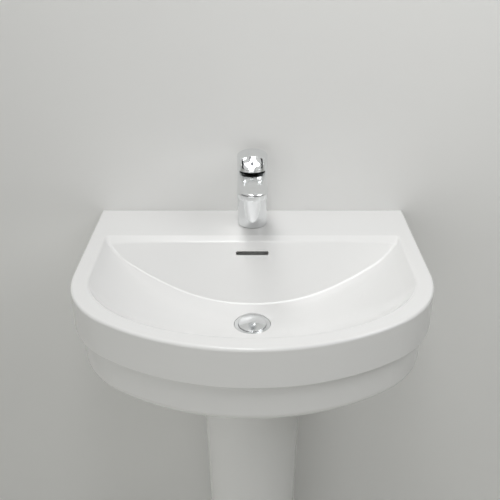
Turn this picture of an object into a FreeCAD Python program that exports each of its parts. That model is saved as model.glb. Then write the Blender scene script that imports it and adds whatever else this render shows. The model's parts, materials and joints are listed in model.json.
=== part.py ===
import FreeCAD, Part
import math
import os

# Hand basin on a full pedestal, with a single-lever mixer, a push-open waste and a bottle trap.
# Millimetres. +Z is up from the floor, +Y points to the wall, X = 0 is the plane of symmetry.
# A setback is a distance in front of the wall. A drop is a distance below the flat rim.

# Basin body
rim_height = 850.0
basin_width = 600.0
basin_depth = 470.0
front_radius = 395.0
corner_radius = 172.0
apron_height = 70.0
skirt_height = 74.0
skirt_inset = 12.0
ceramic_wall = 12.0
deck_thickness = 14.0
rim_edge_radius = 5.0
rim_inner_radius = 6.0
rim_least_flat = 1.0
apron_edge_radius = 2.5
skirt_edge_radius = 16.0

# Bowl, back panel and the sloping shelf above the panel
rim_width_side = 29.5
rim_width_front = 30.5
bowl_depth = 108.0
bowl_fullness = 1.6
bowl_front_reach = 178.0
bowl_back_straight = 60.0
bowl_back_round = 108.0
bowl_back_reach = 100.0
drain_setback = 246.0
shelf_setback = 111.4
shelf_run = 12.6
shelf_slope = 24.0
panel_slope = 53.7
panel_bow_radius = 9800.0
shelf_edge_radius = 8.0
crease_radius = 7.0

# Overflow slot and the duct behind the panel
overflow_width = 60.0
overflow_height = 7.5
overflow_drop = 23.7
overflow_corner = 3.0
duct_depth = 14.0
duct_wall = 9.0
duct_side_room = 3.0
duct_port_width = 30.0
duct_port_height = 12.0

# Drain boss and wall fixing of the basin
drain_hole_radius = 23.0
drain_boss_radius = 42.0
drain_boss_height = 34.0
wall_bolt_spacing = 280.0
wall_bolt_drop = 92.0
wall_bolt_hole_radius = 7.0

# Pedestal
pedestal_top_width = 189.0
pedestal_foot_width = 161.0
pedestal_front_reach = 52.0
pedestal_back_reach = 138.0
pedestal_wall = 12.0
pedestal_gasket = 3.0
pedestal_ridge_height = 45.0
pedestal_edge_radius = 2.0
floor_screw_radius = 4.0
floor_lug_height = 14.0
floor_lug_length = 36.0
floor_lug_reach = 28.0

# Waste
waste_flange_radius = 32.0
waste_flange_thickness = 2.5
waste_flange_land = 6.9
waste_flange_inset = 1.0
waste_seat_angle = 41.0
waste_tail_radius = 20.95
waste_tail_wall = 2.6
waste_tail_length = 90.0
waste_seal_thickness = 2.0
waste_lower_seal = 6.0
waste_washer = 2.0
waste_nut_height = 9.0
waste_nut_flats = 52.0
waste_spider_drop = 27.0
waste_spider_height = 6.0
waste_spider_bar = 5.0
plug_radius = 24.3
plug_edge = 2.0
plug_crown = 3.0
plug_stem_radius = 3.5
plug_boss_radius = 7.0
plug_boss_length = 8.0
plug_travel = 8.0
click_radius = 8.0
click_length = 30.0
click_wall = 2.0
spring_wire = 0.9
spring_turns = 4.0

# Bottle trap
trap_pipe_radius = 16.0
trap_pipe_wall = 1.5
trap_washer = 3.0
trap_nut_wall = 5.0
trap_nut_height = 22.0
trap_body_radius = 27.0
trap_body_wall = 2.5
trap_body_drop = 40.0
trap_collar_room = 4.0
trap_cup_height = 62.0
trap_cup_overlap = 16.0
trap_dip_clearance = 20.0
trap_branch_length = 26.0
trap_rosette_radius = 36.0
trap_rosette_depth = 8.0
grip_count = 20
grip_radius = 1.6

# Mixer body and spout, heights above the deck
tap_setback = 55.4
tap_hole_radius = 17.5
mixer_radius = 27.9
mixer_height = 113.0
mixer_base_seal = 0.8
spigot_length = 5.6
spout_half_width = 27.0
spout_reach = 110.2
spout_top_fall = 9.0
spout_crown_radius = 127.0
spout_roll_radius = 5.0
spout_tip_height = 12.5
spout_under_slope = 7.2
spout_edge_radius = 2.0
mixer_bore_floor = 62.0
waterway_radius = 3.5
inlet_radius = 5.0
inlet_depth = 20.0
inlet_spacing = 16.0
inlet_offset = 4.0
stud_radius = 4.0
stud_offset = 11.0
stud_length = 76.0
stud_grip = 14.0
clamp_radius = 24.0
clamp_rubber = 3.0
clamp_plate = 2.5
stud_nut_flats = 13.0
stud_nut_height = 8.0

# Aerator
aerator_radius = 11.2
aerator_length = 9.5
aerator_proud = 0.8
aerator_wall = 1.8
aerator_seal = 1.5
aerator_insert_length = 6.0

# Mixer cartridge, heights above the bore floor
cartridge_radius = 18.0
cartridge_height = 34.0
cartridge_wall = 1.5
cartridge_base = 4.0
cartridge_roof = 6.0
fixed_disc = 5.0
moving_disc = 5.0
moving_disc_radius = 9.8
driver_height = 7.6
carrier_radius = 12.2
carrier_height = 18.5
cartridge_nut_height = 9.0
port_radius = 3.2
port_seal = 1.2
pivot_height = 36.0
pivot_pin_radius = 1.6
spindle_size = 8.0
spindle_top = 70.0
spindle_neck_radius = 2.4
spindle_ball_radius = 3.2
spindle_arm = 16.0

# Handle, heights above the deck
handle_top = 140.5
handle_crown_radius = 160.0
handle_lip_reach = 10.0
handle_face_start = 17.5
handle_face_half_width = 21.0
handle_lip_top = 120.0
handle_lip_under = 116.6
handle_lowest = 115.5
handle_lift = 22.0
handle_wall = 4.4
handle_cavity_top = 124.0
handle_boss_radius = 9.0
handle_boss_bottom = 114.0
handle_edge_radius = 2.0
shroud_height = 4.5
shroud_radius = 21.0
shroud_opening = 18.4
indicator_radius = 3.0
indicator_length = 6.0
indicator_height = 130.0
grub_radius = 2.5
grub_length = 8.0

# Fits and clearances
running_fit = 0.05
push_fit = 0.1
loose_fit = 0.3
tilt_room = 0.5
swing_room = 1.5
cut_margin = 5.0
tool_reach = 700.0

# Derived places
wall_y = basin_depth / 2
half_width = basin_width / 2
drain_y = wall_y - drain_setback
bowl_front_straight = basin_depth - drain_setback - rim_width_front - bowl_front_reach
pedestal_front_y = drain_y - pedestal_front_reach
pedestal_back_y = drain_y + pedestal_back_reach
tap_y = wall_y - tap_setback
deck_under = rim_height - deck_thickness
skirt_bottom = rim_height - apron_height - skirt_height
bowl_floor = rim_height - bowl_depth
flange_top = bowl_floor + waste_flange_inset
boss_bottom = bowl_floor - drain_boss_height
pedestal_top = boss_bottom - pedestal_gasket
seat_slope = math.tan(math.radians(waste_seat_angle))
shelf_fall = shelf_run * math.tan(math.radians(shelf_slope))
panel_top = FreeCAD.Vector(0, wall_y - shelf_setback - shelf_run, rim_height - shelf_fall)
bore_floor = rim_height + mixer_bore_floor
pivot_z = bore_floor + pivot_height
mixer_top = rim_height + mixer_height
dish_angles = (8, 16, 25, 35, 45, 55, 64, 72, 78, 82)


def vec(x, y, z):
    """A point or a direction."""
    return FreeCAD.Vector(x, y, z)


def line(a, b):
    """Straight edge between two points."""
    return Part.LineSegment(a, b).toShape()


def arc(a, via, b):
    """Circular edge through three points."""
    return Part.Arc(a, via, b).toShape()


def middle(edge):
    """Point halfway along an edge."""
    return edge.valueAt((edge.FirstParameter + edge.LastParameter) / 2)


def polygon_face(points):
    """Flat face with straight sides."""
    return Part.Face(Part.makePolygon(points + [points[0]]))


def lathe(profile, x, y):
    """Solid of revolution about a vertical axis from corners given as radius and height."""
    face = polygon_face([vec(r, 0, z) for r, z in profile])
    solid = face.revolve(vec(0, 0, 0), vec(0, 0, 1), 360)
    solid.translate(vec(x, y, 0))
    return solid


def rod(radius, z0, z1, x, y):
    """Upright cylinder."""
    return Part.makeCylinder(radius, z1 - z0, vec(x, y, z0))


def tube(outer, inner, z0, z1, x, y):
    """Upright ring."""
    return rod(outer, z0, z1, x, y).cut(rod(inner, z0, z1, x, y))


def rod_y(radius, y0, y1, x, z):
    """Cylinder along Y."""
    return Part.makeCylinder(radius, y1 - y0, vec(x, y0, z), vec(0, 1, 0))


def rod_x(radius, half, z):
    """Cylinder along X through the mixer's axis."""
    return Part.makeCylinder(radius, 2 * half, vec(-half, tap_y, z), vec(1, 0, 0))


def hexagon(flats, z0, z1, x, y):
    """Upright hexagonal bar."""
    corner = flats / math.sqrt(3)
    points = []
    for i in range(6):
        turn = math.radians(60 * i)
        points.append(vec(x + corner * math.cos(turn), y + corner * math.sin(turn), z0))
    return polygon_face(points).extrude(vec(0, 0, z1 - z0))


def box(x0, x1, y0, y1, z0, z1):
    """Block between two corners."""
    return Part.makeBox(x1 - x0, y1 - y0, z1 - z0, vec(x0, y0, z0))


def plan_outline(inset, z):
    """Outline of the basin in plan, moved in from the front and the sides."""
    half = half_width - inset
    bow = front_radius - inset
    turn = corner_radius - inset
    bow_y = wall_y - basin_depth + front_radius
    corner_x = half - turn
    corner_y = bow_y - math.sqrt((bow - turn) ** 2 - corner_x ** 2)
    ux = corner_x / (bow - turn)
    uy = (corner_y - bow_y) / (bow - turn)
    tangent = vec(bow * ux, bow_y + bow * uy, z)
    spread = math.hypot(1 + ux, uy)
    via = vec(corner_x + turn * (1 + ux) / spread, corner_y + turn * uy / spread, z)
    edges = [line(vec(half, wall_y, z), vec(half, corner_y, z))]
    edges.append(arc(vec(half, corner_y, z), via, tangent))
    far_tangent = vec(-tangent.x, tangent.y, z)
    edges.append(arc(tangent, vec(0, bow_y - bow, z), far_tangent))
    edges.append(arc(far_tangent, vec(-via.x, via.y, z), vec(-half, corner_y, z)))
    edges.append(line(vec(-half, corner_y, z), vec(-half, wall_y, z)))
    edges.append(line(vec(-half, wall_y, z), vec(half, wall_y, z)))
    return Part.Wire(edges)


def plan_prism(inset, z0, z1):
    """Upright block with the basin's outline."""
    return Part.Face(plan_outline(inset, z0)).extrude(vec(0, 0, z1 - z0))


def quarter_ellipse(centre, across, along, start):
    """Quarter of an ellipse in plan that starts at an angle and runs anticlockwise."""
    stretch = FreeCAD.Matrix()
    stretch.scale(across, along, 1)
    stretch.move(centre)
    return Part.makeCircle(1, vec(0, 0, 0), vec(0, 0, 1), start, start + 90).transformGeometry(stretch)


def dish_section(share, grow, z):
    """Closed outline of the bowl at one level, with straight sides and round ends."""
    across = (half_width - rim_width_side + grow) * share
    reach = (bowl_front_reach + grow) * share
    tail = (bowl_back_round + grow) * share
    front = vec(0, drain_y - bowl_front_straight * share ** 2, z)
    back = vec(0, drain_y + bowl_back_straight * share + bowl_back_reach * share ** 8, z)
    side = vec(across, 0, 0)
    edges = [quarter_ellipse(front, across, reach, 180), quarter_ellipse(front, across, reach, 270)]
    edges.append(line(front + side, back + side))
    edges += [quarter_ellipse(back, across, tail, 0), quarter_ellipse(back, across, tail, 90)]
    edges.append(line(back - side, front - side))
    return Part.Wire(edges)


def dish(grow):
    """Hollow of the bowl as a solid, with all its walls moved out by the amount given."""
    wires = [dish_section(1, grow, rim_height + 2 * rim_inner_radius)]
    wires.append(dish_section(1, grow, rim_height))
    for degrees in dish_angles:
        turn = math.radians(degrees)
        drop = (bowl_depth + grow) * math.sin(turn) ** bowl_fullness
        wires.append(dish_section(math.cos(turn), grow, rim_height - drop))
    return Part.makeLoft(wires, True)


def to_panel(shape):
    """Move a shape drawn on the panel, with X across, Y out of the ceramic and Z down the slope."""
    shape.rotate(vec(0, 0, 0), vec(1, 0, 0), 90 + panel_slope)
    shape.translate(panel_top)
    return shape


def space_before_panel(back):
    """All space in front of the back panel or above the shelf, moved into the ceramic by an amount."""
    side = tool_reach / 2
    bow = side ** 2 / (2 * panel_bow_radius)
    edges = [arc(vec(-side, bow, 0), vec(0, 0, 0), vec(side, bow, 0))]
    edges.append(line(vec(side, bow, 0), vec(side, tool_reach, 0)))
    edges.append(line(vec(side, tool_reach, 0), vec(-side, tool_reach, 0)))
    edges.append(line(vec(-side, tool_reach, 0), vec(-side, bow, 0)))
    face = Part.Face(Part.Wire(edges))
    face.translate(vec(0, -back, -tool_reach / 3))
    panel = to_panel(face.extrude(vec(0, 0, tool_reach)))
    shelf = box(-side, side, -tool_reach, tool_reach / 4, -back, tool_reach - back)
    shelf.rotate(vec(0, 0, 0), vec(1, 0, 0), shelf_slope)
    shelf.translate(vec(0, wall_y - shelf_setback, rim_height))
    return panel.fuse(shelf).removeSplitter()


def bowl_hollow():
    """The bowl to take out of the basin, with rounded creases against the panel and the shelf."""
    space = space_before_panel(0)
    brow = min(space.Edges, key=lambda edge: edge.distToShape(Part.Vertex(panel_top))[0])
    space = space.makeFillet(shelf_edge_radius, [brow])
    bowl = dish(0)
    hollow = bowl.common(space)
    creases = []
    for edge in hollow.Edges:
        point = Part.Vertex(middle(edge))
        on_bowl = bowl.Shells[0].distToShape(point)[0] < push_fit
        on_space = space.Shells[0].distToShape(point)[0] < push_fit
        if on_bowl and on_space and middle(edge).z < rim_height + rim_inner_radius:
            creases.append(edge)
    return hollow.makeFillet(crease_radius, creases)


def narrowest_rim():
    """Least width of the flat rim along the front and round the corners."""
    edges = [e for e in dish_section(1, 0, rim_height).Edges if middle(e).y < drain_y - bowl_front_straight]
    outline = plan_outline(0, rim_height)
    return min(outline.distToShape(edge)[0] for edge in edges)


def round_level(shape, z, radius):
    """Round the edges at one level, except the one on the wall."""
    edges = []
    for edge in shape.Edges:
        level = edge.BoundBox.ZLength < push_fit and abs(middle(edge).z - z) < push_fit
        if level and middle(edge).y < wall_y - push_fit:
            edges.append(edge)
    return shape.makeFillet(radius, edges)


def outer_block():
    """Apron and lower band as one block with softened edges."""
    apron = plan_prism(0, rim_height - apron_height, rim_height)
    apron = round_level(apron, rim_height, rim_edge_radius)
    apron = round_level(apron, rim_height - apron_height, apron_edge_radius)
    skirt = plan_prism(skirt_inset, skirt_bottom, rim_height - apron_height + cut_margin)
    return apron.fuse(round_level(skirt, skirt_bottom, skirt_edge_radius))


def overflow_slot():
    """Slot through the panel into the duct."""
    centre = (overflow_drop - shelf_fall) / math.sin(math.radians(panel_slope))
    half = overflow_width / 2
    z0 = centre - overflow_height / 2
    slot = box(-half, half, -ceramic_wall - duct_depth / 2, ceramic_wall, z0, z0 + overflow_height)
    corners = [e for e in slot.Edges if e.BoundBox.YLength > ceramic_wall]
    return to_panel(slot.makeFillet(overflow_corner, corners))


def duct(grow):
    """Overflow duct down the back of the panel and forward to the drain, grown for its outside."""
    sine = math.sin(math.radians(panel_slope))
    half = overflow_width / 2 + duct_side_room + grow
    top = (overflow_drop - shelf_fall) / sine - overflow_height - grow
    port_top = bowl_floor - ceramic_wall
    low = (rim_height - shelf_fall - port_top) / sine
    back = -ceramic_wall - duct_depth - grow
    fall = to_panel(box(-half, half, back, -ceramic_wall + grow, top, low))
    port = duct_port_width / 2 + grow
    foot_y = panel_top.y - low * math.cos(math.radians(panel_slope)) + ceramic_wall + duct_depth
    foot = box(-port, port, drain_y, foot_y + grow, port_top - duct_port_height - grow, port_top + grow)
    return fall.fuse(foot)


def pedestal_outline(half, z):
    """U-shaped outline of the pedestal in plan, with a half-round front and an open back."""
    centre_y = pedestal_front_y + pedestal_top_width / 2
    back_y = pedestal_back_y
    edges = [line(vec(half, back_y, z), vec(half, centre_y, z))]
    edges.append(arc(vec(half, centre_y, z), vec(0, centre_y - half, z), vec(-half, centre_y, z)))
    edges.append(line(vec(-half, centre_y, z), vec(-half, back_y, z)))
    edges.append(line(vec(-half, back_y, z), vec(half, back_y, z)))
    return Part.Wire(edges)


def ridge():
    """Landing ridge under the bowl with the pedestal's outline."""
    z0 = boss_bottom
    outer = Part.Face(pedestal_outline(pedestal_top_width / 2, z0))
    inner = Part.Face(pedestal_outline(pedestal_top_width / 2 - pedestal_wall, z0))
    ring = outer.extrude(vec(0, 0, pedestal_ridge_height))
    return ring.cut(inner.extrude(vec(0, 0, pedestal_ridge_height)))


def basin():
    """The ceramic basin with its bowl, hollow underside, overflow duct and fixing holes."""
    shell = dish(ceramic_wall).common(space_before_panel(ceramic_wall))
    boss = rod(drain_boss_radius, boss_bottom, bowl_floor, 0, drain_y)
    under = plan_prism(skirt_inset + ceramic_wall, boss_bottom - cut_margin, deck_under)
    back = box(-half_width, half_width, wall_y - deck_thickness, wall_y, 0, rim_height)
    under = under.cut(back).cut(shell).cut(boss).cut(ridge()).cut(duct(duct_wall))
    body = outer_block()
    body = body.fuse(boss).fuse(ridge())
    body = body.cut(under)
    hollow = bowl_hollow()
    body = body.cut(hollow)
    inner = []
    for edge in body.Edges:
        point = middle(edge)
        near = hollow.Shells[0].distToShape(Part.Vertex(point))[0] < push_fit
        if abs(point.z - rim_height) < push_fit and near:
            inner.append(edge)
    most = narrowest_rim() - rim_edge_radius - rim_least_flat
    body = body.makeFillet(min(rim_inner_radius, most), inner)
    body = body.cut(duct(0)).cut(overflow_slot()).cut(drain_opening())
    body = body.cut(rod(tap_hole_radius, deck_under - cut_margin, rim_height + cut_margin, 0, tap_y))
    for side in (-1, 1):
        x = side * wall_bolt_spacing / 2
        z = rim_height - wall_bolt_drop
        body = body.cut(rod_y(wall_bolt_hole_radius, wall_y - 2 * deck_thickness, wall_y + 1, x, z))
    return body.removeSplitter()


def drain_opening():
    """Recess for the waste's flange and the hole below it."""
    edge = waste_flange_radius + tilt_room
    ledge = flange_top - waste_flange_thickness - waste_seal_thickness
    turn = waste_flange_radius - waste_flange_land
    cone = ledge - (turn - drain_hole_radius) * seat_slope
    profile = [(0, boss_bottom - cut_margin), (drain_hole_radius, boss_bottom - cut_margin)]
    profile += [(drain_hole_radius, cone), (turn, ledge), (edge, ledge)]
    profile += [(edge, bowl_floor + bowl_depth), (0, bowl_floor + bowl_depth)]
    return lathe(profile, 0, drain_y)


def pedestal():
    """Ceramic pedestal, open at the back, with two lugs for floor screws."""
    top = pedestal_top_width / 2
    foot = pedestal_foot_width / 2
    outer = Part.makeLoft([pedestal_outline(foot, 0), pedestal_outline(top, pedestal_top)], True, True)
    round_edges = []
    for edge in outer.Edges:
        flat = edge.BoundBox.ZLength < push_fit
        if flat and middle(edge).y < pedestal_back_y - push_fit:
            round_edges.append(edge)
    outer = outer.makeFillet(pedestal_edge_radius, round_edges)
    inner_wires = [pedestal_outline(foot - pedestal_wall, 0)]
    inner_wires.append(pedestal_outline(top - pedestal_wall, pedestal_top))
    shell = outer.cut(Part.makeLoft(inner_wires, True, True))
    back_y = pedestal_back_y
    for side in (-1, 1):
        x1 = side * (foot - pedestal_wall / 2)
        x0 = side * (foot - pedestal_wall - floor_lug_reach)
        lug = box(min(x0, x1), max(x0, x1), back_y - floor_lug_length, back_y, 0, floor_lug_height)
        x = side * (foot - pedestal_wall - floor_lug_reach / 2)
        hole = rod(floor_screw_radius, -1, floor_lug_height + 1, x, back_y - floor_lug_length / 2)
        shell = shell.fuse(lug).cut(hole)
    return shell.removeSplitter()


def pedestal_pad():
    """Foam gasket between the pedestal and the basin."""
    half = pedestal_top_width / 2 - pedestal_edge_radius
    inner = pedestal_top_width / 2 - pedestal_wall + pedestal_edge_radius
    pad = Part.Face(pedestal_outline(half, pedestal_top)).extrude(vec(0, 0, pedestal_gasket))
    return pad.cut(Part.Face(pedestal_outline(inner, pedestal_top)).extrude(vec(0, 0, pedestal_gasket)))


def waste_body():
    """Waste with a dished flange, a slotted tail and a spider for the click mechanism."""
    edge = waste_flange_radius
    turn = edge - waste_flange_land
    tail = waste_tail_radius
    bore = tail - waste_tail_wall
    low = flange_top - waste_flange_thickness
    neck = low - (turn - tail) * seat_slope
    throat = flange_top - (turn - bore) * seat_slope
    end = flange_top - waste_tail_length
    profile = [(edge, flange_top), (turn, flange_top), (bore, throat), (bore, end), (tail, end)]
    profile += [(tail, neck), (turn, low), (edge, low)]
    body = lathe(profile, 0, drain_y)
    rims = [e for e in body.Edges if abs(e.BoundBox.ZMax - flange_top) < push_fit]
    rims = [e for e in rims if e.BoundBox.XLength > 2 * edge - push_fit]
    body = body.makeFillet(waste_flange_thickness / 2, rims)
    port_top = bowl_floor - ceramic_wall
    half = duct_port_width / 2
    window = box(-half, half, drain_y - tail, drain_y + tail, port_top - duct_port_height, port_top)
    body = body.cut(window.cut(rod(bore - 1, port_top - duct_port_height, port_top, 0, drain_y)))
    top = flange_top - waste_spider_drop
    low = top - waste_spider_height
    hub = click_radius + waste_tail_wall
    spider = rod(hub, low, top, 0, drain_y)
    arm = waste_spider_bar / 2
    reach = bore + waste_tail_wall / 2
    spider = spider.fuse(box(-reach, reach, drain_y - arm, drain_y + arm, low, top))
    spider = spider.fuse(box(-arm, arm, drain_y - reach, drain_y + reach, low, top))
    spider = spider.cut(rod(click_radius + push_fit, low, top, 0, drain_y))
    return body.fuse(spider).removeSplitter()


def waste_flange_seal():
    """Soft conical washer between the flange and the ceramic recess."""
    turn = waste_flange_radius - waste_flange_land
    inner = drain_hole_radius + push_fit
    high = flange_top - waste_flange_thickness
    low = high - waste_seal_thickness
    fall = (turn - inner) * seat_slope
    profile = [(waste_flange_radius, high), (turn, high), (inner, high - fall), (inner, low - fall)]
    profile += [(turn, low), (waste_flange_radius, low)]
    return lathe(profile, 0, drain_y)


def waste_clamp():
    """Rubber washer, slip washer and back nut under the drain boss."""
    bore = waste_tail_radius + running_fit
    edge = waste_nut_flats / 2 + waste_lower_seal
    z0 = boss_bottom - waste_lower_seal
    z1 = z0 - waste_washer
    z2 = z1 - waste_nut_height
    rubber = tube(edge, bore, z0, boss_bottom, 0, drain_y)
    washer = tube(edge, bore, z1, z0, 0, drain_y)
    nut = hexagon(waste_nut_flats, z2, z1, 0, drain_y).cut(rod(bore, z2, z1, 0, drain_y))
    return rubber, washer, nut


def plug_seat(radius):
    """Height of the waste's conical seat at a radius."""
    return flange_top - (waste_flange_radius - waste_flange_land - radius) * seat_slope


def plug_cap():
    """Domed cap with a boss below for the stem."""
    under = flange_top - plug_edge / 4
    edge = under + plug_edge
    ball = (plug_radius ** 2 + plug_crown ** 2) / (2 * plug_crown)
    dome = Part.makeSphere(ball, vec(0, drain_y, edge + plug_crown - ball))
    cap = rod(plug_radius, under, edge + plug_crown, 0, drain_y).common(dome)
    cap = cap.makeFillet(plug_edge / 3, [e for e in cap.Edges if e.BoundBox.XLength > plug_radius])
    cap = cap.fuse(rod(plug_boss_radius, under - plug_boss_length, edge, 0, drain_y)).removeSplitter()
    stem_top = under + plug_edge / 2
    hole = rod(plug_stem_radius, under - plug_boss_length, stem_top, 0, drain_y)
    return cap.cut(hole)


def plug_seal():
    """Soft ring under the cap that closes on the conical seat."""
    under = flange_top - plug_edge / 4
    outer = plug_radius - plug_edge
    inner = plug_boss_radius
    lip = outer - plug_edge
    profile = [(inner, under), (outer, under), (outer, plug_seat(outer) + loose_fit)]
    profile += [(lip, plug_seat(lip) + loose_fit), (inner, plug_seat(lip) + loose_fit)]
    return lathe(profile, 0, drain_y)


def click_levels():
    """Bottom of the click body, top of its floor, foot of the stem at rest and top of the body."""
    top = flange_top - waste_spider_drop + waste_spider_height
    low = top - click_length
    floor = low + click_wall
    foot = floor + plug_travel
    return low, floor, foot, top


def click_body():
    """Cup that holds the spring and the latch, resting on the spider with a collar."""
    low, floor, foot, top = click_levels()
    collar = flange_top - waste_spider_drop
    bore = click_radius - click_wall
    body = rod(click_radius, low, top, 0, drain_y)
    body = body.fuse(rod(click_radius + click_wall, collar, top, 0, drain_y))
    body = body.cut(rod(bore, floor, top - click_wall, 0, drain_y))
    return body.cut(rod(plug_stem_radius + push_fit, floor, top, 0, drain_y)).removeSplitter()


def plug_stem():
    """Stem from the cap down to a foot inside the click body."""
    low, floor, foot, top = click_levels()
    stem = rod(plug_stem_radius, foot, flange_top + plug_edge / 4, 0, drain_y)
    wide = click_radius - click_wall - loose_fit
    return stem.fuse(rod(wide, foot, foot + click_wall, 0, drain_y)).removeSplitter()


def latch_sleeve():
    """Ring with ramps that turns at each push, carried on the stem above its foot."""
    low, floor, foot, top = click_levels()
    outer = click_radius - click_wall - loose_fit
    z0 = foot + click_wall
    sleeve = tube(outer, plug_stem_radius, z0, z0 + 2 * click_wall, 0, drain_y)
    for i in range(3):
        tooth = box(0, click_radius, -click_wall / 2, click_wall / 2, 0, click_wall)
        tooth.rotate(vec(0, 0, 0), vec(0, 0, 1), 120 * i)
        tooth.translate(vec(0, drain_y, z0 + 1.5 * click_wall))
        sleeve = sleeve.cut(tooth)
    return sleeve


def leaving_arc(start, along, end):
    """Circular edge that leaves start in the direction along and stops at end."""
    chord = end - start
    straight = vec(chord.x, chord.y, chord.z).normalize()
    side = along - straight * along.dot(straight)
    bulge = chord.Length / 2 * math.tan(along.getAngle(chord) / 2)
    return arc(start, (start + end) * 0.5 + side.normalize() * bulge, end)


def coil_path(radius, pitch, turns):
    """Rising coil of quarter turns, each made of two arcs that meet smoothly."""
    rise = pitch / (2 * math.pi)
    edges = []
    for i in range(int(4 * turns)):
        turn = [math.pi / 2 * (i + k) for k in range(2)]
        p, q = [vec(radius * math.cos(a), radius * math.sin(a), rise * a) for a in turn]
        u, w = [vec(-radius * math.sin(a), radius * math.cos(a), rise).normalize() for a in turn]
        step = q - p
        bend = 2 * (1 - u.dot(w))
        reach = step.dot(u + w)
        lead = (math.sqrt(reach**2 + bend * step.dot(step)) - reach) / bend
        join = (p + q + (u - w) * lead) * 0.5
        edges += [leaving_arc(p, u, join), leaving_arc(q, w * -1, join)]
    return Part.Wire(edges)


def plug_spring():
    """Coil spring between the floor of the click body and the foot of the stem."""
    low, floor, foot, top = click_levels()
    radius = click_radius - click_wall - spring_wire
    gap = push_fit
    pitch = (foot - floor - 2 * gap - spring_wire) / spring_turns
    along = vec(0, radius, pitch / (2 * math.pi))
    ring = Part.Wire([Part.makeCircle(spring_wire / 2, vec(radius, 0, 0), along)])
    coil = coil_path(radius, pitch, spring_turns).makePipeShell([ring], True, False)
    coil.translate(vec(0, drain_y, floor + gap + spring_wire / 2))
    return coil


def gripped(nut, radius, z0, z1, y):
    """Cut a ring of finger grooves into the outside of a round nut."""
    for i in range(grip_count):
        turn = 2 * math.pi * i / grip_count
        nut = nut.cut(rod(grip_radius, z0, z1, radius * math.cos(turn), y + radius * math.sin(turn)))
    return nut


def gland_radius():
    """Outside radius of the necks that take a union nut on the trap."""
    return trap_pipe_radius + 2 * trap_washer - 1


def trap_levels():
    """End of the waste tail, underside of the dip tube's collar, top, outlet and low end of the trap."""
    tail = flange_top - waste_tail_length
    collar = tail - 2 * trap_washer
    top = tail - trap_body_drop
    outlet = top - trap_body_wall - gland_radius()
    low = outlet - gland_radius() - trap_collar_room - trap_cup_overlap
    return tail, collar, top, outlet, low


def trap_inlet():
    """Union nut, washer and dip tube below the waste tail."""
    tail, collar, top, outlet, low = trap_levels()
    bore = waste_tail_radius + running_fit
    pipe = trap_pipe_radius
    z0 = collar - trap_washer - push_fit
    nut = tube(bore + trap_nut_wall, bore, z0, z0 + trap_nut_height, 0, drain_y)
    nut = nut.fuse(tube(bore + trap_nut_wall, pipe + push_fit, z0, z0 + trap_washer, 0, drain_y))
    nut = nut.removeSplitter()
    nut = gripped(nut, bore + trap_nut_wall, z0 + trap_washer, z0 + trap_nut_height, drain_y)
    washer = tube(waste_tail_radius - push_fit, pipe, tail - trap_washer, tail, 0, drain_y)
    dip_end = low - trap_cup_height + trap_cup_overlap + trap_dip_clearance
    dip = rod(pipe, dip_end, collar + trap_washer, 0, drain_y)
    dip = dip.fuse(rod(waste_tail_radius - push_fit, collar, collar + trap_washer, 0, drain_y))
    dip = dip.cut(rod(pipe - trap_pipe_wall, dip_end, collar + trap_washer, 0, drain_y))
    return nut, washer, dip.removeSplitter()


def trap_body():
    """Head of the trap with a neck for the dip tube and a branch to the wall."""
    tail, collar, top, outlet, low = trap_levels()
    inner = trap_body_radius - trap_body_wall
    neck = gland_radius()
    hole = trap_pipe_radius + push_fit
    pocket = trap_pipe_radius + trap_washer
    neck_top = top + 4 * trap_washer
    branch_end = drain_y + trap_body_radius + trap_branch_length
    body = rod(trap_body_radius, low, top, 0, drain_y)
    body = body.fuse(rod(neck, top, neck_top, 0, drain_y))
    body = body.fuse(rod_y(neck, drain_y, branch_end, 0, outlet))
    body = body.cut(rod(inner, low, top - trap_body_wall, 0, drain_y))
    body = body.cut(rod(hole, top - trap_body_wall, neck_top, 0, drain_y))
    body = body.cut(rod(pocket, neck_top - 2 * trap_washer, neck_top, 0, drain_y))
    body = body.cut(rod_y(hole, drain_y, branch_end, 0, outlet))
    body = body.cut(rod_y(pocket, branch_end - 2 * trap_washer, branch_end, 0, outlet))
    return body.removeSplitter()


def gland():
    """Union nut and soft ring for a neck that ends at height zero and points up."""
    neck = gland_radius() + running_fit
    pipe = trap_pipe_radius + push_fit
    outer = neck + trap_nut_wall - 1
    lip = push_fit + trap_washer
    nut = tube(outer, neck, push_fit - 3 * trap_washer, lip, 0, 0)
    nut = nut.fuse(tube(outer, pipe, push_fit, lip, 0, 0)).removeSplitter()
    nut = gripped(nut, outer, push_fit - 3 * trap_washer, push_fit, 0)
    ring = tube(trap_pipe_radius + trap_washer - push_fit, trap_pipe_radius, -2 * trap_washer, 0, 0, 0)
    return nut, ring


def top_gland():
    """Union nut and soft ring on the neck round the dip tube."""
    tail, collar, top, outlet, low = trap_levels()
    nut, ring = gland()
    for shape in (nut, ring):
        shape.translate(vec(0, drain_y, top + 4 * trap_washer))
    return nut, ring


def side_gland():
    """Union nut and soft ring on the branch round the outlet pipe."""
    tail, collar, top, outlet, low = trap_levels()
    nut, ring = gland()
    for shape in (nut, ring):
        shape.rotate(vec(0, 0, 0), vec(1, 0, 0), -90)
        shape.translate(vec(0, drain_y + trap_body_radius + trap_branch_length, outlet))
    return nut, ring


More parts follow.
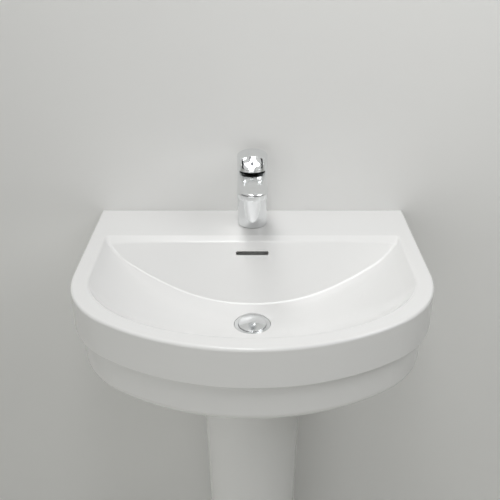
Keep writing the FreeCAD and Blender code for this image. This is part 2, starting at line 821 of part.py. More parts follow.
def trap_cup():
    """Removable cup that screws over the lower end of the trap, and its seal."""
    tail, collar, top, outlet, low = trap_levels()
    outer = trap_body_radius
    inner = outer - trap_body_wall
    bottom = low - trap_cup_height + trap_cup_overlap
    ledge = low - trap_body_wall
    collar_edge = outer + trap_body_wall + running_fit
    cup = rod(outer, bottom, ledge, 0, drain_y)
    cup = cup.fuse(rod(collar_edge, ledge - trap_body_wall, low + trap_cup_overlap, 0, drain_y))
    cup = cup.cut(rod(inner, bottom + trap_body_wall, low, 0, drain_y))
    cup = cup.cut(rod(outer + running_fit, ledge, low + trap_cup_overlap, 0, drain_y))
    seal = tube(outer, inner, ledge, low, 0, drain_y)
    return cup.removeSplitter(), seal


def trap_outlet():
    """Pipe from the trap to the wall and the rosette that covers its hole."""
    tail, collar, top, outlet, low = trap_levels()
    pipe_start = drain_y + trap_body_radius + trap_washer
    pipe = rod_y(trap_pipe_radius, pipe_start, wall_y, 0, outlet)
    pipe = pipe.cut(rod_y(trap_pipe_radius - trap_pipe_wall, pipe_start, wall_y, 0, outlet))
    cone = Part.makeCone(trap_rosette_radius, trap_pipe_radius + trap_washer, trap_rosette_depth)
    cone = cone.cut(rod(trap_pipe_radius + push_fit, 0, trap_rosette_depth, 0, 0))
    cone.rotate(vec(0, 0, 0), vec(1, 0, 0), 90)
    cone.translate(vec(0, wall_y, outlet))
    return pipe, cone


def spout_frame():
    """Height of the spout's top at its tip, of its lower lip and the place of its round end."""
    tip_top = mixer_top - spout_top_fall
    tip_low = tip_top - spout_tip_height
    end_y = tap_y - spout_reach + spout_half_width
    return tip_top, tip_low, end_y


def spout_crown(root_y, tip_y, tip_top):
    """Lying cylinder whose top line runs along the sloping top of the spout."""
    way = vec(0, tip_y - root_y, tip_top - mixer_top)
    up = vec(0, way.z, -way.y).normalize()
    start = vec(0, root_y, mixer_top) - up * spout_crown_radius - way
    return Part.makeCylinder(spout_crown_radius, 3 * way.Length, start, way)


def round_off(spout, upper, lower):
    """Roll over the spout's upper edges, then soften the lower ones."""
    rolled = spout.makeFillet(spout_roll_radius, upper)
    places = [middle(edge) for edge in lower]
    edges = [e for e in rolled.Edges if min((middle(e) - place).Length for place in places) < push_fit]
    return rolled.makeFillet(spout_edge_radius, edges)


def spout_block():
    """Tongue-shaped spout with a half-round end, a crowned top and a sloping underside."""
    tip_top, tip_low, end_y = spout_frame()
    tip_y = tap_y - spout_reach
    root_y = tap_y - mixer_radius
    fall = spout_reach * math.tan(math.radians(spout_under_slope))
    side = [vec(0, tap_y, mixer_top), vec(0, root_y, mixer_top), vec(0, tip_y, tip_top)]
    side += [vec(0, tip_y, tip_low), vec(0, tap_y, tip_low - fall)]
    block = polygon_face(side)
    block.translate(vec(-mixer_radius, 0, 0))
    block = block.extrude(vec(2 * mixer_radius, 0, 0))
    block = block.common(spout_crown(root_y, tip_y, tip_top))
    low = tip_low - fall - cut_margin
    high = mixer_top + cut_margin
    plan = box(-spout_half_width, spout_half_width, end_y, tap_y, low, high)
    plan = plan.fuse(rod(spout_half_width, low, high, 0, end_y)).removeSplitter()
    spout = block.common(plan).removeSplitter()
    upper = []
    lower = []
    for edge in spout.Edges:
        lying = edge.BoundBox.ZLength < abs(edge.BoundBox.YLength)
        if lying and middle(edge).y < root_y + mixer_radius / 2:
            if middle(edge).z > (tip_top + tip_low) / 2:
                upper.append(edge)
            else:
                lower.append(edge)
    return round_off(spout, upper, lower)


def tilt_aerator(shape):
    """Move a shape drawn with its face at height zero to the underside of the spout."""
    tip_top, tip_low, end_y = spout_frame()
    drop = spout_half_width * math.tan(math.radians(spout_under_slope))
    shape.rotate(vec(0, 0, 0), vec(1, 0, 0), -spout_under_slope)
    shape.translate(vec(0, end_y, tip_low - drop))
    return shape


def inlet_places():
    """Centres of the hot and cold inlets."""
    return [(side * inlet_spacing / 2, tap_y + inlet_offset) for side in (-1, 1)]


def mixer_body():
    """Cast body with its spout, cartridge bore, waterways and threaded inlets."""
    tip_top, tip_low, end_y = spout_frame()
    base = rim_height + mixer_base_seal
    spigot = rim_height - spigot_length
    body = rod(mixer_radius, base, mixer_top, 0, tap_y)
    top_edge = [e for e in body.Edges if e.BoundBox.ZMin > mixer_top - push_fit]
    body = body.makeFillet(spout_edge_radius / 4, top_edge)
    body = body.fuse(spout_block())
    body = body.fuse(rod(tap_hole_radius - push_fit, spigot, base, 0, tap_y))
    body = body.cut(rod(cartridge_radius + running_fit, bore_floor, mixer_top + 1, 0, tap_y))
    for x, y in inlet_places():
        body = body.cut(rod(inlet_radius, spigot, spigot + inlet_depth, x, y))
        body = body.cut(rod(waterway_radius, spigot, bore_floor, x, y))
    stud_y = tap_y - stud_offset
    body = body.cut(rod(stud_radius, spigot, base + stud_grip, 0, stud_y))
    rise_y = tap_y - (cartridge_radius + mixer_radius) / 2
    level = bore_floor - 2 * waterway_radius
    port_y = tap_y - carrier_radius + port_radius
    spout_level = tip_top - 2 * waterway_radius
    body = body.cut(rod(waterway_radius, level, bore_floor, 0, port_y))
    body = body.cut(rod_y(waterway_radius, rise_y, port_y, 0, level))
    body = body.cut(rod(waterway_radius, level, spout_level, 0, rise_y))
    body = body.cut(rod_y(waterway_radius, end_y, rise_y, 0, spout_level))
    pocket = rod(aerator_radius + running_fit, -cut_margin, aerator_length - aerator_proud, 0, 0)
    body = body.cut(tilt_aerator(pocket))
    return body.removeSplitter()


def base_seal():
    """Soft ring between the mixer and the deck."""
    inner = tap_hole_radius + push_fit
    return tube(mixer_radius - mixer_base_seal, inner, rim_height, rim_height + mixer_base_seal, 0, tap_y)


def clamp_disc(thickness, z1):
    """Horseshoe under the deck, open at the back for the supply hoses."""
    disc = rod(clamp_radius, z1 - thickness, z1, 0, tap_y)
    gap = inlet_spacing / 2 + inlet_radius + swing_room
    slot_y = tap_y - stud_offset + stud_radius + swing_room
    slot = box(-gap, gap, slot_y, tap_y + clamp_radius, z1 - thickness, z1)
    hole = rod(stud_radius + push_fit, z1 - thickness, z1, 0, tap_y - stud_offset)
    return disc.cut(slot).cut(hole)


def mixer_fixing():
    """Stud, rubber horseshoe, steel horseshoe and nut that hold the mixer to the deck."""
    y = tap_y - stud_offset
    top = rim_height + mixer_base_seal + stud_grip
    stud = rod(stud_radius, top - stud_length, top, 0, y)
    plate_top = deck_under - clamp_rubber
    nut_top = plate_top - clamp_plate
    rubber = clamp_disc(clamp_rubber, deck_under)
    plate = clamp_disc(clamp_plate, plate_top)
    nut = hexagon(stud_nut_flats, nut_top - stud_nut_height, nut_top, 0, y)
    nut = nut.cut(rod(stud_radius, nut_top - stud_nut_height, nut_top, 0, y))
    return stud, rubber, plate, nut


def aerator():
    """Threaded sleeve, its jet insert and the seal above it."""
    length = aerator_length - aerator_seal
    inner = aerator_radius - aerator_wall
    sleeve = tube(aerator_radius, inner, 0, length, 0, 0)
    insert = rod(inner - running_fit, length - aerator_insert_length, length, 0, 0)
    for ring in range(1, 3):
        for i in range(6 * ring):
            turn = math.radians(60 * i / ring)
            reach = inner * ring / 2.9
            jet = rod(inner / 9, 0, length, reach * math.cos(turn), reach * math.sin(turn))
            insert = insert.cut(jet)
    seal = tube(aerator_radius, inner, length, aerator_length, 0, 0)
    shapes = []
    for shape in (sleeve, insert, seal):
        shape.translate(vec(0, 0, -aerator_proud))
        shapes.append(tilt_aerator(shape))
    return shapes


def port_places():
    """Centres of the hot, cold and mixed ports in the cartridge."""
    return inlet_places() + [(0, tap_y - carrier_radius + port_radius)]


def cartridge_levels():
    """Tops of the base, the fixed disc, the moving disc, the driver and the housing."""
    base = bore_floor + cartridge_base
    fixed = base + fixed_disc
    moving = fixed + moving_disc
    driver = moving + driver_height
    return base, fixed, moving, driver, bore_floor + cartridge_height


def cartridge_housing():
    """Cup of the cartridge with ports in its base and an opening for the carrier in its roof."""
    base, fixed, moving, driver, top = cartridge_levels()
    body = rod(cartridge_radius, bore_floor, top, 0, tap_y)
    body = body.cut(rod(cartridge_radius - cartridge_wall, base, top - cartridge_roof, 0, tap_y))
    body = body.cut(rod(carrier_radius + loose_fit, base, top, 0, tap_y))
    for x, y in port_places():
        body = body.cut(rod(port_radius, bore_floor, base, x, y))
        body = body.cut(rod(port_radius + port_seal, bore_floor, bore_floor + port_seal, x, y))
    return body


def port_seals():
    """Three soft rings in the base of the cartridge."""
    rings = []
    for x, y in port_places():
        rings.append(tube(port_radius + port_seal, port_radius, bore_floor, bore_floor + port_seal, x, y))
    return Part.makeCompound(rings)


def ceramic_discs():
    """Fixed disc with its ports and the moving disc with its mixing pocket."""
    base, fixed, moving, driver, top = cartridge_levels()
    lower = rod(cartridge_radius - cartridge_wall - push_fit, base, fixed, 0, tap_y)
    for x, y in port_places():
        lower = lower.cut(rod(port_radius, base, fixed, x, y))
    upper = rod(moving_disc_radius, fixed, moving, 0, tap_y)
    pocket = rod(moving_disc_radius / 2, fixed, fixed + moving_disc / 2, 0, tap_y)
    return lower, upper.cut(pocket)


def disc_driver():
    """Slider on the moving disc with a socket for the end of the spindle."""
    base, fixed, moving, driver, top = cartridge_levels()
    body = rod(moving_disc_radius, moving, driver, 0, tap_y)
    room = spindle_ball_radius + tilt_room
    return body.cut(box(-room, room, tap_y - room, tap_y + room, moving + swing_room, driver))


def carrier_slot(z0, z1):
    """Slot in the carrier in which the spindle swings."""
    half = spindle_size / 2 + push_fit
    swing = spindle_arm * math.sin(math.radians(handle_lift)) + spindle_ball_radius + tilt_room
    return box(-half, half, tap_y - swing, tap_y + swing, z0, z1)


def carrier():
    """Turning part of the cartridge that carries the spindle on a cross pin."""
    base, fixed, moving, driver, top = cartridge_levels()
    z0 = driver + loose_fit
    flange = top - cartridge_roof - loose_fit
    edge = cartridge_radius - cartridge_wall - loose_fit
    body = rod(edge, z0, flange, 0, tap_y).fuse(rod(carrier_radius, z0, z0 + carrier_height, 0, tap_y))
    body = body.cut(carrier_slot(z0, z0 + carrier_height))
    return body.cut(rod_x(pivot_pin_radius, edge, pivot_z)).removeSplitter()


def pivot_pin():
    """Cross pin through the carrier and the spindle."""
    return rod_x(pivot_pin_radius, carrier_radius - loose_fit, pivot_z)


def spindle():
    """Square spindle for the handle with a round lower arm that moves the disc."""
    half = spindle_size / 2
    low = pivot_z - half
    end = pivot_z - spindle_arm
    body = box(-half, half, tap_y - half, tap_y + half, low, bore_floor + spindle_top)
    body = body.fuse(rod(spindle_neck_radius, end, low, 0, tap_y))
    body = body.fuse(Part.makeSphere(spindle_ball_radius, vec(0, tap_y, end)))
    return body.cut(rod_x(pivot_pin_radius + running_fit, half, pivot_z)).removeSplitter()


def cartridge_nut():
    """Ring nut that holds the cartridge in the body."""
    base, fixed, moving, driver, top = cartridge_levels()
    ring = tube(cartridge_radius, carrier_radius + swing_room, top, top + cartridge_nut_height, 0, tap_y)
    for i in range(3):
        notch = box(-swing_room, swing_room, -cartridge_radius, cartridge_radius, 0, cartridge_nut_height)
        notch.rotate(vec(0, 0, 0), vec(0, 0, 1), 60 * i)
        notch.translate(vec(0, tap_y, top + cartridge_nut_height / 2))
        ring = ring.cut(notch)
    return ring


def shroud():
    """Trim ring on top of the body that hides the cartridge."""
    z0 = mixer_top
    ring = tube(shroud_radius, shroud_opening, z0, z0 + shroud_height, 0, tap_y)
    edges = [e for e in ring.Edges if e.BoundBox.ZMin > z0 + shroud_height - push_fit]
    edges = [e for e in edges if e.BoundBox.XLength > 2 * shroud_opening + push_fit]
    return ring.makeFillet(shroud_height / 2, edges)


def face_slope():
    """Fall of the handle's front face per millimetre towards the front."""
    return (handle_top - handle_lip_top) / (mixer_radius + handle_lip_reach - handle_face_start)


def handle_under():
    """Block above the handle's underside, which rises to the back to give room to tilt."""
    back = mixer_radius + cut_margin
    lip = mixer_radius + handle_lip_reach + cut_margin
    rise = back * math.tan(math.radians(handle_lift + 1))
    high = handle_top + cut_margin
    side = [(-back, high), (lip, high), (lip, handle_lip_under), (0, handle_lowest)]
    side.append((-back, handle_lowest + rise))
    face = polygon_face([vec(-back, tap_y - u, rim_height + z) for u, z in side])
    return face.extrude(vec(2 * back, 0, 0))


def face_section(z):
    """Outline at one height of the space in front of the handle's twisted front face."""
    half = handle_face_half_width
    edge = tap_y - handle_lip_reach - math.sqrt(mixer_radius ** 2 - half ** 2) - tilt_room
    centre = tap_y - handle_face_start - (handle_top - z) / face_slope()
    front = tap_y - mixer_radius - handle_lip_reach - 2 * cut_margin
    z = rim_height + z
    edges = [arc(vec(-half, edge, z), vec(0, centre, z), vec(half, edge, z))]
    edges.append(line(vec(half, edge, z), vec(half, front, z)))
    edges.append(line(vec(half, front, z), vec(-half, front, z)))
    edges.append(line(vec(-half, front, z), vec(-half, edge, z)))
    return Part.Wire(edges)


def face_space():
    """Space in front of the handle's face, hollow at the top of the face and full at the lip."""
    low = face_section(handle_lip_top - cut_margin)
    high = face_section(handle_top + cut_margin)
    return Part.makeLoft([low, high], True, True)


def handle_outside():
    """Outer form of the handle: crowned cap with a soft rim, cut to its side view."""
    r = mixer_radius
    front = tap_y - handle_lip_reach
    high = rim_height + handle_top
    edges = [arc(vec(r, tap_y, mixer_top), vec(0, tap_y + r, mixer_top), vec(-r, tap_y, mixer_top))]
    edges.append(line(vec(-r, tap_y, mixer_top), vec(-r, front, mixer_top)))
    edges.append(arc(vec(-r, front, mixer_top), vec(0, front - r, mixer_top), vec(r, front, mixer_top)))
    edges.append(line(vec(r, front, mixer_top), vec(r, tap_y, mixer_top)))
    cap = Part.Face(Part.Wire(edges)).extrude(vec(0, 0, high - mixer_top))
    crown = rod_y(handle_crown_radius, front - 2 * r, tap_y + 2 * r, 0, high - handle_crown_radius)
    cap = cap.common(crown)
    rim = [e for e in cap.Edges if e.BoundBox.ZMin > (mixer_top + high) / 2]
    cap = cap.makeFillet(handle_edge_radius, rim).common(handle_under())
    return cap.cut(face_space()).Solids[0]


def lever_handle():
    """Handle with its cavity, spindle socket and a hole for the grub screw."""
    body = handle_outside()
    space = face_space().Shells[0]
    edges = [e for e in body.Edges if space.distToShape(Part.Vertex(middle(e)))[0] < running_fit]
    body = body.makeFillet(handle_edge_radius / 2, edges)
    cavity = rod(mixer_radius - handle_wall, mixer_top, rim_height + handle_cavity_top, 0, tap_y)
    boss = rod(handle_boss_radius, rim_height + handle_boss_bottom, rim_height + handle_top, 0, tap_y)
    body = body.cut(cavity.cut(boss))
    half = spindle_size / 2
    socket = box(-half, half, tap_y - half, tap_y + half, mixer_top, bore_floor + spindle_top)
    body = body.cut(socket)
    z = rim_height + indicator_height
    body = body.cut(rod_y(grub_radius, tap_y - mixer_radius - handle_lip_reach, tap_y - half, 0, z))
    return body.cut(indicator_space())


def indicator_space():
    """Round pocket for the indicator in the handle's front face."""
    z = rim_height + indicator_height
    face_y = tap_y - handle_face_start - (handle_top - indicator_height) / face_slope()
    return rod_y(indicator_radius, face_y - indicator_length, face_y + indicator_length, 0, z)


def indicator():
    """Plug that covers the grub screw, flush with the handle's front face."""
    return indicator_space().common(handle_outside())


def grub_screw():
    """Grub screw that holds the handle on the spindle."""
    half = spindle_size / 2
    return rod_y(grub_radius, tap_y - half - grub_length, tap_y - half, 0, rim_height + indicator_height)


def save(name, shape):
    """Write one node."""
    shape.exportStep("parts/" + name + ".step")


os.makedirs("parts", exist_ok=True)
save("basin", basin())
save("pedestal", pedestal())
save("pedestal_gasket", pedestal_pad())

save("waste_body", waste_body())
save("waste_flange_seal", waste_flange_seal())
for name, shape in zip(("waste_lower_seal", "waste_slip_washer", "waste_back_nut"), waste_clamp()):
    save(name, shape)
save("plug_cap", plug_cap())
save("plug_seal", plug_seal())
save("plug_stem", plug_stem())
save("plug_spring", plug_spring())
save("click_body", click_body())
save("latch_sleeve", latch_sleeve())

for name, shape in zip(("trap_inlet_nut", "trap_inlet_washer", "trap_dip_tube"), trap_inlet()):
    save(name, shape)
save("trap_body", trap_body())
for name, shape in zip(("trap_top_nut", "trap_top_seal"), top_gland()):
    save(name, shape)
for name, shape in zip(("trap_outlet_nut", "trap_outlet_seal"), side_gland()):
    save(name, shape)
for name, shape in zip(("trap_cup", "trap_cup_seal"), trap_cup()):
    save(name, shape)
for name, shape in zip(("trap_outlet_pipe", "wall_rosette"), trap_outlet()):
    save(name, shape)

save("mixer_body", mixer_body())
save("mixer_base_seal", base_seal())
for name, shape in zip(("mixer_stud", "mixer_rubber", "mixer_clamp", "mixer_nut"), mixer_fixing()):
    save(name, shape)
for name, shape in zip(("aerator_sleeve", "aerator_insert", "aerator_seal"), aerator()):
    save(name, shape)
save("cartridge_housing", cartridge_housing())
save("cartridge_seals", port_seals())
for name, shape in zip(("fixed_disc", "moving_disc"), ceramic_discs()):
    save(name, shape)
save("disc_driver", disc_driver())
save("spindle_carrier", carrier())
save("pivot_pin", pivot_pin())
save("spindle", spindle())
save("cartridge_nut", cartridge_nut())
save("trim_ring", shroud())
save("lever_handle", lever_handle())
save("lever_indicator", indicator())
save("grub_screw", grub_screw())
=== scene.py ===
import json
import math

import bpy
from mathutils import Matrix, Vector


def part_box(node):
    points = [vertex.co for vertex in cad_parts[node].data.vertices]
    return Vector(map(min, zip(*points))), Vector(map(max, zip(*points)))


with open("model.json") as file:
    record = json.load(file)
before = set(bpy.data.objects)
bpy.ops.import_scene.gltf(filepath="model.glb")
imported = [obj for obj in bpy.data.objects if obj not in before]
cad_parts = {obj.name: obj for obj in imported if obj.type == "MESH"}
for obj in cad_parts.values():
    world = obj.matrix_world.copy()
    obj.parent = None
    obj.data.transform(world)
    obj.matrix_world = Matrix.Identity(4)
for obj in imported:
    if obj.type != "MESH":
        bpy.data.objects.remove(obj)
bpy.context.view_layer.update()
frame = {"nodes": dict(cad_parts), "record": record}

# Places, metres
wall_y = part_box("basin")[1].y
rim_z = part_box("basin")[1].z
rim_middle = Vector((0, 0, rim_z))
wall_gap = 0.0005
wall_reach = 3.0
floor_reach = 6.0

# Camera: height above the rim, distance in front of the wall, tilt below the horizon and framing
camera_rise = 0.5753
camera_setback = 1.2652
camera_tilt = math.radians(27.63)
camera_lens_mm = 50
camera_shift = (-0.0046, -0.002)

# Colours, linear
glaze_white = (0.80, 0.80, 0.785, 1)
glaze_cloud = (0.785, 0.783, 0.765, 1)
bisque = (0.70, 0.66, 0.58, 1)
chrome_bright = (0.95, 0.95, 0.95, 1)
chrome_dim = (0.92, 0.918, 0.91, 1)
brass_bright = (0.80, 0.60, 0.30, 1)
brass_dull = (0.62, 0.44, 0.19, 1)
steel_bright = (0.66, 0.66, 0.67, 1)
steel_dull = (0.50, 0.50, 0.51, 1)
rubber_dark = (0.022, 0.022, 0.023, 1)
rubber_dusty = (0.060, 0.058, 0.055, 1)
foam_light = (0.42, 0.42, 0.41, 1)
foam_pit_shade = (0.20, 0.20, 0.20, 1)
trap_clean = (0.80, 0.80, 0.785, 1)
trap_aged = (0.76, 0.75, 0.715, 1)
moulded_grey = (0.30, 0.31, 0.33, 1)
moulded_dark = (0.23, 0.24, 0.26, 1)
disc_white = (0.80, 0.80, 0.78, 1)
disc_fleck = (0.70, 0.69, 0.66, 1)
wall_colour = (0.875, 0.875, 0.862, 1)
floor_colour = (0.74, 0.745, 0.70, 1)
backdrop_colour = (0.62, 0.62, 0.61, 1)
screen_pale = (0.66, 0.66, 0.65, 1)
screen_dark = (0.02, 0.02, 0.02, 1)
fill_colour = (1, 1, 0.97, 1)

# Finishes: depth of the bare clay in metres, what it adds to roughness and relief, the cells of the
# foam in one metre and the darkest tone of the stage's mottling
raw_depth = 0.0004
raw_roughness = 0.6
raw_relief = 4.0
foam_cells = 900.0
mottle_tone = 0.97

# Studio: edges of the dark gaps as parts of a direction one unit long, and the level of the fill
horizon = 0.12
screen_low = 0.53
screen_high = 0.91
gap_high = 0.985
gap_wide = 0.10
fill_level = 0.50


class Paint:
    """An output of a material's nodes. Arithmetic on it adds Math nodes."""

    def __init__(self, tree, plug=None):
        self.tree = tree
        self.plug = plug

    def node(self, kind, settings=None, sockets=None, output=0):
        """Add a node: settings first, then the values or links of its sockets."""
        made = self.tree.nodes.new("ShaderNode" + kind)
        for name, value in (settings or {}).items():
            setattr(made, name, value)
        for name, value in (sockets or {}).items():
            if isinstance(value, Paint):
                self.tree.links.new(value.plug, made.inputs[name])
            else:
                made.inputs[name].default_value = value
        return Paint(self.tree, made.outputs[output] if made.outputs else None)

    def maths(self, operation, first, second):
        """Math node on two values."""
        return self.node("Math", {"operation": operation}, {0: first, 1: second})

    def __add__(self, other):
        return self.maths("ADD", self, other)

    def __sub__(self, other):
        return self.maths("SUBTRACT", self, other)

    def __rsub__(self, other):
        return self.maths("SUBTRACT", other, self)

    def __mul__(self, other):
        return self.maths("MULTIPLY", self, other)

    def __gt__(self, other):
        return self.maths("GREATER_THAN", self, other)

    def __lt__(self, other):
        return self.maths("LESS_THAN", self, other)

    __radd__ = __add__
    __rmul__ = __mul__


def start(name):
    """New material. Returns the place on the surface, in metres."""
    material = bpy.data.materials.new(name)
    material.use_nodes = True
    material.node_tree.nodes.clear()
    return Paint(material.node_tree).node("TexCoord", output="Object")


def surface(place, shader):
    """Finish a material with the values and links of its shader."""
    made = place.node("BsdfPrincipled", sockets=shader)
    place.node("OutputMaterial", sockets={"Surface": made})


def axis(place, letter):
    """One coordinate of a place."""
    return place.node("SeparateXYZ", sockets={0: place}, output=letter)


def drawn_out(place, x=1.0, y=1.0, z=1.0):
    """Place with each axis drawn out by a factor."""
    return place.node("Mapping", {"vector_type": "TEXTURE"}, {"Vector": place, "Scale": (x, y, z)})


def noise(place, grain, detail=2.0):
    """Soft noise from 0 to 1 with lumps about one grain wide, in metres."""
    return place.node("TexNoise", sockets={"Vector": place, "Scale": 1 / grain, "Detail": detail})


def blend(factor, low, high):
    """Colour between two colours, through the Mix node's own sockets for colour."""
    first, second, result = 6, 7, 2
    sockets = {0: factor, first: low, second: high}
    return factor.node("Mix", {"data_type": "RGBA"}, sockets, result)


def mottled(mottle, colour):
    """Colour that gets a little darker with the mottle."""
    dull = tuple(mottle_tone * c for c in colour[:3]) + (1,)
    return blend(mottle, colour, dull)


def bump(height, depth):
    """Normal from a height between 0 and 1 that stands for a depth in metres."""
    return height.node("Bump", sockets={"Height": height, "Distance": depth, "Strength": 1.0})


def glazed_white():
    """White glaze with a faint orange peel, and bare clay where it meets the floor or the wall."""
    place = start("glazed_white")
    cloud = noise(place, grain=0.12, detail=3.0)
    peel = noise(place, grain=0.004)
    raw = (axis(place, "Y") > wall_y - raw_depth) + (axis(place, "Z") < raw_depth)
    grit = noise(place, grain=0.0009, detail=4.0)
    clay = blend(grit, bisque, glaze_cloud)
    shader = {"Base Color": blend(raw, blend(cloud, glaze_white, glaze_cloud), clay)}
    shader["Roughness"] = 0.07 + 0.05 * cloud + raw_roughness * raw
    shader["Normal"] = bump(peel + raw_relief * raw * grit, depth=0.000006)
    shader["IOR"] = 1.52
    surface(place, shader)


def chrome():
    """Bright plate with the faint haze of wiping."""
    place = start("chrome")
    haze = noise(drawn_out(place, z=2.5), grain=0.012, detail=4.0)
    shader = {"Base Color": blend(haze, chrome_bright, chrome_dim), "Metallic": 1.0}
    shader["Roughness"] = 0.02 + 0.05 * haze
    surface(place, shader)


def brass():
    """Turned brass with fine rings and dull patches."""
    place = start("brass")
    rings = noise(drawn_out(place, x=40.0, y=40.0), grain=0.0005)
    dull = noise(place, grain=0.008, detail=3.0)
    shader = {"Base Color": blend(dull, brass_bright, brass_dull), "Metallic": 1.0}
    shader["Roughness"] = 0.2 + 0.25 * dull
    shader["Normal"] = bump(rings, depth=0.00002)
    surface(place, shader)


def steel():
    """Bare steel drawn along its length."""
    place = start("steel")
    streaks = noise(drawn_out(place, z=30.0), grain=0.0004, detail=3.0)
    shader = {"Base Color": blend(streaks, steel_bright, steel_dull), "Metallic": 1.0}
    shader["Roughness"] = 0.22 + 0.2 * streaks
    shader["Normal"] = bump(streaks, depth=0.00001)
    surface(place, shader)


def rubber_black():
    """Soft black rubber with a little dust."""
    place = start("rubber_black")
    dust = noise(place, grain=0.006, detail=4.0)
    shader = {"Base Color": blend(dust, rubber_dark, rubber_dusty)}
    shader["Roughness"] = 0.6 + 0.25 * dust
    shader["Normal"] = bump(noise(place, grain=0.0006), depth=0.00004)
    surface(place, shader)


def foam_grey():
    """Foam strip with small closed cells, painted darker in the sunken middle of each cell as
    painted shade.
    """
    place = start("foam_grey")
    cells = place.node("TexVoronoi", sockets={"Vector": place, "Scale": foam_cells})
    # Painted shade: the pits at the middles of the cells, where the bump sinks, get the darker
    # colour
    shader = {"Base Color": blend(cells, foam_pit_shade, foam_light)}
    shader["Roughness"] = 0.95 - 0.1 * cells
    shader["Normal"] = bump(cells, depth=0.0004)
    surface(place, shader)


def trap_white():
    """White moulded pipe fittings, a little yellowed in patches, with a fine moulded grain."""
    place = start("trap_white")
    aged = noise(place, grain=0.05, detail=3.0)
    shader = {"Base Color": blend(aged, trap_clean, trap_aged)}
    shader["Roughness"] = 0.22 + 0.14 * aged
    shader["Normal"] = bump(noise(place, grain=0.0012), depth=0.00002)
    surface(place, shader)


def plastic_grey():
    """Grey moulded plastic with flow marks and a matt grain."""
    place = start("plastic_grey")
    flow = noise(drawn_out(place, z=3.0), grain=0.01, detail=3.0)
    shader = {"Base Color": blend(flow, moulded_grey, moulded_dark)}
    shader["Roughness"] = 0.42 + 0.15 * flow
    shader["Normal"] = bump(noise(place, grain=0.0005), depth=0.00002)
    surface(place, shader)


def disc_ceramic():
    """Lapped ceramic with faint flecks."""
    place = start("disc_ceramic")
    flecks = noise(place, grain=0.0004, detail=4.0)
    shader = {"Base Color": blend(flecks, disc_white, disc_fleck)}
    shader["Roughness"] = 0.12 + 0.1 * flecks
    surface(place, shader)


def paint_nodes():
    """Give each solid the finish of its material slot."""
    finishes = (glazed_white, chrome, brass, steel, rubber_black, foam_grey,
                trap_white, plastic_grey, disc_ceramic)
    for finish in finishes:
        finish()
    for part in frame["record"]["subparts"]:
        mesh = frame["nodes"][part["node"]].data
        mesh.materials.clear()
        mesh.materials.append(bpy.data.materials[part["material_slot"]])


def plane(name, corners):
    """Flat sheet for the stage."""
    mesh = bpy.data.meshes.new(name)
    mesh.from_pydata(corners, [], [(0, 1, 2, 3)])
    made = bpy.data.objects.new(name, mesh)
    bpy.context.scene.collection.objects.link(made)
    return made


def wall():
    """Pale wall behind the basin, seen only from the front, that lets other light pass."""
    y = wall_y + wall_gap
    side = wall_reach
    sheet = plane("wall", [(-side, y, 0), (side, y, 0), (side, y, side), (-side, y, side)])
    sheet.visible_diffuse = False
    sheet.visible_shadow = False
    place = start("wall_paint")
    mottle = noise(place, grain=0.3, detail=3.0)
    paint = place.node("BsdfDiffuse", sockets={"Color": mottled(mottle, wall_colour)})
    clear = place.node("BsdfTransparent")
    behind = place.node("NewGeometry", output="Backfacing")
    mixed = place.node("MixShader", sockets={0: behind, 1: paint, 2: clear})
    place.node("OutputMaterial", sockets={"Surface": mixed})
    sheet.data.materials.append(bpy.data.materials["wall_paint"])


def floor():
    """Pale floor."""
    side = floor_reach
    sheet = plane("floor", [(-side, -side, 0), (side, -side, 0), (side, side, 0), (-side, side, 0)])
    place = start("floor_paint")
    mottle = noise(place, grain=0.4, detail=3.0)
    surface(place, {"Base Color": mottled(mottle, floor_colour), "Roughness": 0.6 + 0.1 * mottle})
    sheet.data.materials.append(bpy.data.materials["floor_paint"])


def softbox(name, place, width, height, watts, mirrored=True):
    """Soft lamp aimed at the rim. One that isn't mirrored leaves no image in glaze and chrome."""
    lamp = bpy.data.lights.new(name, "AREA")
    lamp.shape = "RECTANGLE"
    lamp.size = width
    lamp.size_y = height
    lamp.energy = watts
    made = bpy.data.objects.new(name, lamp)
    bpy.context.scene.collection.objects.link(made)
    made.location = place
    made.rotation_mode = "QUATERNION"
    made.rotation_quaternion = (rim_middle - Vector(place)).to_track_quat("-Z", "Y")
    made.visible_camera = False
    made.visible_glossy = mirrored


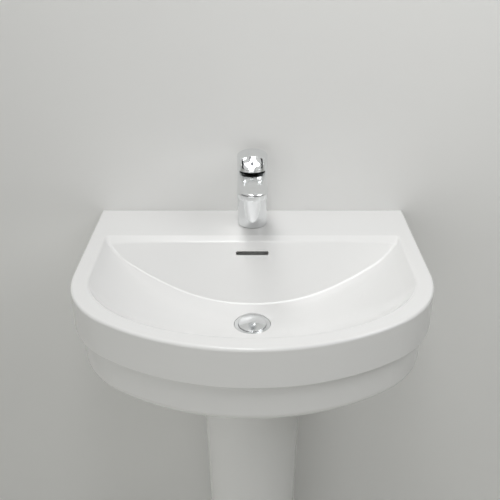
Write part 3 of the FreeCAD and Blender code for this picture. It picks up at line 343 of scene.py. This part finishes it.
def lamps():
    """Four soft lamps: two on the right, one overhead and one low in front."""
    softbox("right_lamp", (0.50, -1.15, 2.20), width=1.4, height=1.0, watts=3.5, mirrored=False)
    softbox("side_lamp", (1.30, -0.40, 2.10), width=1.0, height=1.0, watts=9.0)
    softbox("top_lamp", (-0.15, -0.03, 2.35), width=2.2, height=0.32, watts=13.0)
    softbox("front_lamp", (-0.30, -2.00, 0.90), width=1.6, height=1.0, watts=4.5)


def surroundings():
    """Pale studio with dark gaps in front for mirrored rays, and a fill light from the left."""
    world = bpy.data.worlds.new("studio")
    bpy.context.scene.world = world
    world.use_nodes = True
    world.node_tree.nodes.clear()
    way = Paint(world.node_tree).node("TexCoord", output="Generated")
    height = axis(way, "Z")
    gap = (height > screen_high) * (height < gap_high) + (height > horizon) * (height < screen_low)
    across = axis(way, "X")
    middle = (across > -gap_wide) * (across < gap_wide) * (height > screen_low)
    dark = (gap + middle) * (axis(way, "Y") < 0.0)
    screen = blend(dark, screen_pale, screen_dark)
    from_left = fill_level * (across < 0.0)
    fill = way.node("Background", sockets={"Color": fill_colour, "Strength": from_left})
    plain = way.node("Background", sockets={"Color": backdrop_colour, "Strength": 1.0})
    mirrored = way.node("Background", sockets={"Color": screen, "Strength": 1.0})
    glossy = way.node("LightPath", output="Is Glossy Ray")
    seen = way.node("LightPath", output="Is Camera Ray")
    shown = way.node("MixShader", sockets={0: glossy, 1: fill, 2: mirrored})
    mixed = way.node("MixShader", sockets={0: seen, 1: shown, 2: plain})
    way.node("OutputWorld", sockets={"Surface": mixed})


def camera():
    """Camera in the middle, above and in front of the rim."""
    lens = bpy.data.cameras.new("camera")
    lens.lens = camera_lens_mm
    lens.shift_x, lens.shift_y = camera_shift
    made = bpy.data.objects.new("camera", lens)
    bpy.context.scene.collection.objects.link(made)
    made.location = (0, wall_y - camera_setback, rim_z + camera_rise)
    made.rotation_euler = (math.pi / 2 - camera_tilt, 0, 0)
    bpy.context.scene.camera = made


paint_nodes()
wall()
floor()
lamps()
surroundings()
camera()
bpy.context.scene.view_settings.view_transform = "Standard"
